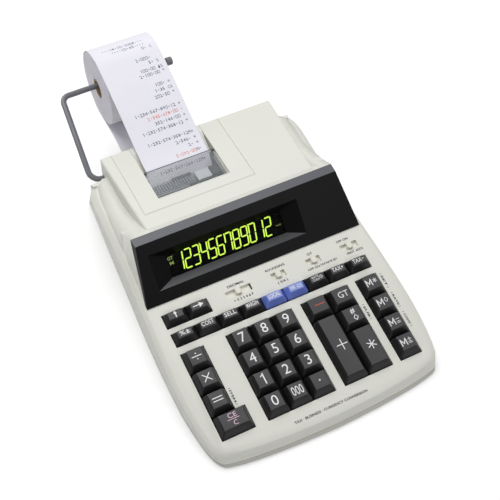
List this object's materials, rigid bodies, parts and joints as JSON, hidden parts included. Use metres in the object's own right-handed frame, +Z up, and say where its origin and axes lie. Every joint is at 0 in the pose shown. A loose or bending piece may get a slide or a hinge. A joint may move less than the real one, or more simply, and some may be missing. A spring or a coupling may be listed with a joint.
{
  "type": "printing calculator",
  "caption": "Desktop calculator with a tilted keyboard, a raised display, a tape printer under a lifting cover and a paper roll on a wire holder at the rear.",
  "frame": {"origin": "on the table, under the middle of the whole object with its paper roll", "axes": "+X to the user's right, +Y to the rear, towards the paper roll, +Z up"},
  "size_m": [0.2134, 0.3894, 0.127],
  "materials": {
    "case": "warm white moulded ABS, fine texture",
    "base": "grey moulded ABS",
    "bezel": "black styrene, semi-gloss",
    "lens": "smoked clear acrylic",
    "tube": "dark glass envelope of the display",
    "black": "black ABS",
    "board": "green solder mask on glass fibre board",
    "steel": "zinc plated sheet",
    "paper": "bluish white tally paper",
    "card": "brown wound card",
    "iron": "varnished laminations",
    "wire": "dark grey enamelled steel wire",
    "window": "smoky clear acrylic",
    "rubber": "black platen rubber",
    "dark": "ink-stained dark plastic",
    "key_dark": "charcoal ABS, light texture",
    "key_blue": "blue ABS, light texture"
  },
  "bodies": {
    "calculator": {"top_case": "case", "bottom_case": "base", "display_bezel": "bezel", "display_lens": "lens", "display_tube": "tube", "key_frame": "black", "key_board": "board", "printer_frame": "steel", "paper_tape": "paper", "main_board": "board", "transformer": "iron"},
    "holder": {"roll_holder": "wire", "holder_cap": "black"},
    "roll": {"paper_roll": "paper", "paper_core": "card"},
    "cover": {"printer_cover": "case", "tear_window": "window"},
    "platen": {"platen_roller": "rubber"},
    "drum": {"type_drum": "dark"},
    "ink": {"ink_roller": "dark"},
    "switch_decimal_body": {"switch_decimal": "case"},
    "switch_rounding_body": {"switch_rounding": "case"},
    "switch_total_body": {"switch_total": "case"},
    "switch_print_body": {"switch_print": "case"},
    "key_clear_body": {"key_clear": "key_dark"},
    "key_equals_body": {"key_equals": "key_dark"},
    "key_multiply_body": {"key_multiply": "key_dark"},
    "key_divide_body": {"key_divide": "key_dark"},
    "key_0_body": {"key_0": "key_dark"},
    "key_000_body": {"key_000": "key_dark"},
    "key_point_body": {"key_point": "key_dark"},
    "key_1_body": {"key_1": "key_dark"},
    "key_2_body": {"key_2": "key_dark"},
    "key_3_body": {"key_3": "key_dark"},
    "key_4_body": {"key_4": "key_dark"},
    "key_5_body": {"key_5": "key_dark"},
    "key_6_body": {"key_6": "key_dark"},
    "key_7_body": {"key_7": "key_dark"},
    "key_8_body": {"key_8": "key_dark"},
    "key_9_body": {"key_9": "key_dark"},
    "key_plus_body": {"key_plus": "key_dark"},
    "key_minus_body": {"key_minus": "key_dark"},
    "key_total_body": {"key_total": "key_dark"},
    "key_subtotal_body": {"key_subtotal": "key_dark"},
    "key_grand_total_body": {"key_grand_total": "key_dark"},
    "key_memory_plus_body": {"key_memory_plus": "key_dark"},
    "key_memory_minus_body": {"key_memory_minus": "key_dark"},
    "key_memory_subtotal_body": {"key_memory_subtotal": "key_dark"},
    "key_memory_total_body": {"key_memory_total": "key_dark"},
    "key_percent_body": {"key_percent": "key_dark"},
    "key_cost_body": {"key_cost": "key_dark"},
    "key_sell_body": {"key_sell": "key_dark"},
    "key_margin_body": {"key_margin": "key_dark"},
    "key_local_body": {"key_local": "key_blue"},
    "key_exchange_body": {"key_exchange": "key_blue"},
    "key_rate_body": {"key_rate": "key_dark"},
    "key_tax_plus_body": {"key_tax_plus": "key_dark"},
    "key_tax_minus_body": {"key_tax_minus": "key_dark"},
    "key_feed_body": {"key_feed": "key_dark"},
    "key_backspace_body": {"key_backspace": "key_dark"}
  },
  "joints": [
    {"name": "holder_tilt", "type": "hinge", "parent": "calculator", "child": "holder", "pos_m": [0, 0.07895, 0.0672], "axis": [1, 0, 0], "range_deg": [0, 24], "deforming": ["paper_tape"]},
    {"name": "roll_spin", "type": "hinge", "parent": "holder", "child": "roll", "pos_m": [0, 0.16075, 0.0923], "axis": [1, 0, 0], "continuous": true},
    {"name": "cover_lift", "type": "hinge", "parent": "calculator", "child": "cover", "pos_m": [0, 0.00925, 0.08465], "axis": [1, 0, 0], "range_deg": [0, 55]},
    {"name": "platen_turn", "type": "hinge", "parent": "calculator", "child": "platen", "pos_m": [0, 0.04995, 0.0638], "axis": [1, 0, 0], "continuous": true},
    {"name": "drum_turn", "type": "hinge", "parent": "calculator", "child": "drum", "pos_m": [0, 0.03255, 0.0656], "axis": [1, 0, 0], "continuous": true},
    {"name": "ink_turn", "type": "hinge", "parent": "calculator", "child": "ink", "pos_m": [0, 0.024, 0.05733], "axis": [1, 0, 0], "continuous": true},
    {"name": "switch_decimal_slide", "type": "slide", "parent": "calculator", "child": "switch_decimal_body", "axis": [1, 0, 0], "range_m": [-0.00774, 0.00946]},
    {"name": "switch_rounding_slide", "type": "slide", "parent": "calculator", "child": "switch_rounding_body", "axis": [1, 0, 0], "range_m": [-0.00317, 0.00373]},
    {"name": "switch_total_slide", "type": "slide", "parent": "calculator", "child": "switch_total_body", "axis": [1, 0, 0], "range_m": [-0.00389, 0.00331]},
    {"name": "switch_print_slide", "type": "slide", "parent": "calculator", "child": "switch_print_body", "axis": [1, 0, 0], "range_m": [-0.00485, 0.00485]},
    {"name": "key_clear_press", "type": "slide", "parent": "calculator", "child": "key_clear_body", "axis": [0, 0.2224, -0.975], "range_m": [0, 0.0026], "stiffness_N_per_m": 200, "springref_m": -0.0015},
    {"name": "key_equals_press", "type": "slide", "parent": "calculator", "child": "key_equals_body", "axis": [0, 0.2224, -0.975], "range_m": [0, 0.0026], "stiffness_N_per_m": 200, "springref_m": -0.0015},
    {"name": "key_multiply_press", "type": "slide", "parent": "calculator", "child": "key_multiply_body", "axis": [0, 0.2224, -0.975], "range_m": [0, 0.0026], "stiffness_N_per_m": 200, "springref_m": -0.0015},
    {"name": "key_divide_press", "type": "slide", "parent": "calculator", "child": "key_divide_body", "axis": [0, 0.2224, -0.975], "range_m": [0, 0.0026], "stiffness_N_per_m": 200, "springref_m": -0.0015},
    {"name": "key_0_press", "type": "slide", "parent": "calculator", "child": "key_0_body", "axis": [0, 0.2224, -0.975], "range_m": [0, 0.0026], "stiffness_N_per_m": 200, "springref_m": -0.0015},
    {"name": "key_000_press", "type": "slide", "parent": "calculator", "child": "key_000_body", "axis": [0, 0.2224, -0.975], "range_m": [0, 0.0026], "stiffness_N_per_m": 200, "springref_m": -0.0015},
    {"name": "key_point_press", "type": "slide", "parent": "calculator", "child": "key_point_body", "axis": [0, 0.2224, -0.975], "range_m": [0, 0.0026], "stiffness_N_per_m": 200, "springref_m": -0.0015},
    {"name": "key_1_press", "type": "slide", "parent": "calculator", "child": "key_1_body", "axis": [0, 0.2224, -0.975], "range_m": [0, 0.0026], "stiffness_N_per_m": 200, "springref_m": -0.0015},
    {"name": "key_2_press", "type": "slide", "parent": "calculator", "child": "key_2_body", "axis": [0, 0.2224, -0.975], "range_m": [0, 0.0026], "stiffness_N_per_m": 200, "springref_m": -0.0015},
    {"name": "key_3_press", "type": "slide", "parent": "calculator", "child": "key_3_body", "axis": [0, 0.2224, -0.975], "range_m": [0, 0.0026], "stiffness_N_per_m": 200, "springref_m": -0.0015},
    {"name": "key_4_press", "type": "slide", "parent": "calculator", "child": "key_4_body", "axis": [0, 0.2224, -0.975], "range_m": [0, 0.0026], "stiffness_N_per_m": 200, "springref_m": -0.0015},
    {"name": "key_5_press", "type": "slide", "parent": "calculator", "child": "key_5_body", "axis": [0, 0.2224, -0.975], "range_m": [0, 0.0026], "stiffness_N_per_m": 200, "springref_m": -0.0015},
    {"name": "key_6_press", "type": "slide", "parent": "calculator", "child": "key_6_body", "axis": [0, 0.2224, -0.975], "range_m": [0, 0.0026], "stiffness_N_per_m": 200, "springref_m": -0.0015},
    {"name": "key_7_press", "type": "slide", "parent": "calculator", "child": "key_7_body", "axis": [0, 0.2224, -0.975], "range_m": [0, 0.0026], "stiffness_N_per_m": 200, "springref_m": -0.0015},
    {"name": "key_8_press", "type": "slide", "parent": "calculator", "child": "key_8_body", "axis": [0, 0.2224, -0.975], "range_m": [0, 0.0026], "stiffness_N_per_m": 200, "springref_m": -0.0015},
    {"name": "key_9_press", "type": "slide", "parent": "calculator", "child": "key_9_body", "axis": [0, 0.2224, -0.975], "range_m": [0, 0.0026], "stiffness_N_per_m": 200, "springref_m": -0.0015},
    {"name": "key_plus_press", "type": "slide", "parent": "calculator", "child": "key_plus_body", "axis": [0, 0.2224, -0.975], "range_m": [0, 0.0026], "stiffness_N_per_m": 200, "springref_m": -0.0015},
    {"name": "key_minus_press", "type": "slide", "parent": "calculator", "child": "key_minus_body", "axis": [0, 0.2224, -0.975], "range_m": [0, 0.0026], "stiffness_N_per_m": 200, "springref_m": -0.0015},
    {"name": "key_total_press", "type": "slide", "parent": "calculator", "child": "key_total_body", "axis": [0, 0.2224, -0.975], "range_m": [0, 0.0026], "stiffness_N_per_m": 200, "springref_m": -0.0015},
    {"name": "key_subtotal_press", "type": "slide", "parent": "calculator", "child": "key_subtotal_body", "axis": [0, 0.2224, -0.975], "range_m": [0, 0.0026], "stiffness_N_per_m": 200, "springref_m": -0.0015},
    {"name": "key_grand_total_press", "type": "slide", "parent": "calculator", "child": "key_grand_total_body", "axis": [0, 0.2224, -0.975], "range_m": [0, 0.0026], "stiffness_N_per_m": 200, "springref_m": -0.0015},
    {"name": "key_memory_plus_press", "type": "slide", "parent": "calculator", "child": "key_memory_plus_body", "axis": [0, 0.2224, -0.975], "range_m": [0, 0.0026], "stiffness_N_per_m": 200, "springref_m": -0.0015},
    {"name": "key_memory_minus_press", "type": "slide", "parent": "calculator", "child": "key_memory_minus_body", "axis": [0, 0.2224, -0.975], "range_m": [0, 0.0026], "stiffness_N_per_m": 200, "springref_m": -0.0015},
    {"name": "key_memory_subtotal_press", "type": "slide", "parent": "calculator", "child": "key_memory_subtotal_body", "axis": [0, 0.2224, -0.975], "range_m": [0, 0.0026], "stiffness_N_per_m": 200, "springref_m": -0.0015},
    {"name": "key_memory_total_press", "type": "slide", "parent": "calculator", "child": "key_memory_total_body", "axis": [0, 0.2224, -0.975], "range_m": [0, 0.0026], "stiffness_N_per_m": 200, "springref_m": -0.0015},
    {"name": "key_percent_press", "type": "slide", "parent": "calculator", "child": "key_percent_body", "axis": [0, 0.2224, -0.975], "range_m": [0, 0.0026], "stiffness_N_per_m": 200, "springref_m": -0.0015},
    {"name": "key_cost_press", "type": "slide", "parent": "calculator", "child": "key_cost_body", "axis": [0, 0.2224, -0.975], "range_m": [0, 0.0026], "stiffness_N_per_m": 200, "springref_m": -0.0015},
    {"name": "key_sell_press", "type": "slide", "parent": "calculator", "child": "key_sell_body", "axis": [0, 0.2224, -0.975], "range_m": [0, 0.0026], "stiffness_N_per_m": 200, "springref_m": -0.0015},
    {"name": "key_margin_press", "type": "slide", "parent": "calculator", "child": "key_margin_body", "axis": [0, 0.2224, -0.975], "range_m": [0, 0.0026], "stiffness_N_per_m": 200, "springref_m": -0.0015},
    {"name": "key_local_press", "type": "slide", "parent": "calculator", "child": "key_local_body", "axis": [0, 0.2224, -0.975], "range_m": [0, 0.0026], "stiffness_N_per_m": 200, "springref_m": -0.0015},
    {"name": "key_exchange_press", "type": "slide", "parent": "calculator", "child": "key_exchange_body", "axis": [0, 0.2224, -0.975], "range_m": [0, 0.0026], "stiffness_N_per_m": 200, "springref_m": -0.0015},
    {"name": "key_rate_press", "type": "slide", "parent": "calculator", "child": "key_rate_body", "axis": [0, 0.2224, -0.975], "range_m": [0, 0.0026], "stiffness_N_per_m": 200, "springref_m": -0.0015},
    {"name": "key_tax_plus_press", "type": "slide", "parent": "calculator", "child": "key_tax_plus_body", "axis": [0, 0.2224, -0.975], "range_m": [0, 0.0026], "stiffness_N_per_m": 200, "springref_m": -0.0015},
    {"name": "key_tax_minus_press", "type": "slide", "parent": "calculator", "child": "key_tax_minus_body", "axis": [0, 0.2224, -0.975], "range_m": [0, 0.0026], "stiffness_N_per_m": 200, "springref_m": -0.0015},
    {"name": "key_feed_press", "type": "slide", "parent": "calculator", "child": "key_feed_body", "axis": [0, 0.2224, -0.975], "range_m": [0, 0.0026], "stiffness_N_per_m": 200, "springref_m": -0.0015},
    {"name": "key_backspace_press", "type": "slide", "parent": "calculator", "child": "key_backspace_body", "axis": [0, 0.2224, -0.975], "range_m": [0, 0.0026], "stiffness_N_per_m": 200, "springref_m": -0.0015}
  ],
  "couplings": [
    {"joint": "ink_turn", "follows": "drum_turn", "ratio": -1.32}
  ]
}
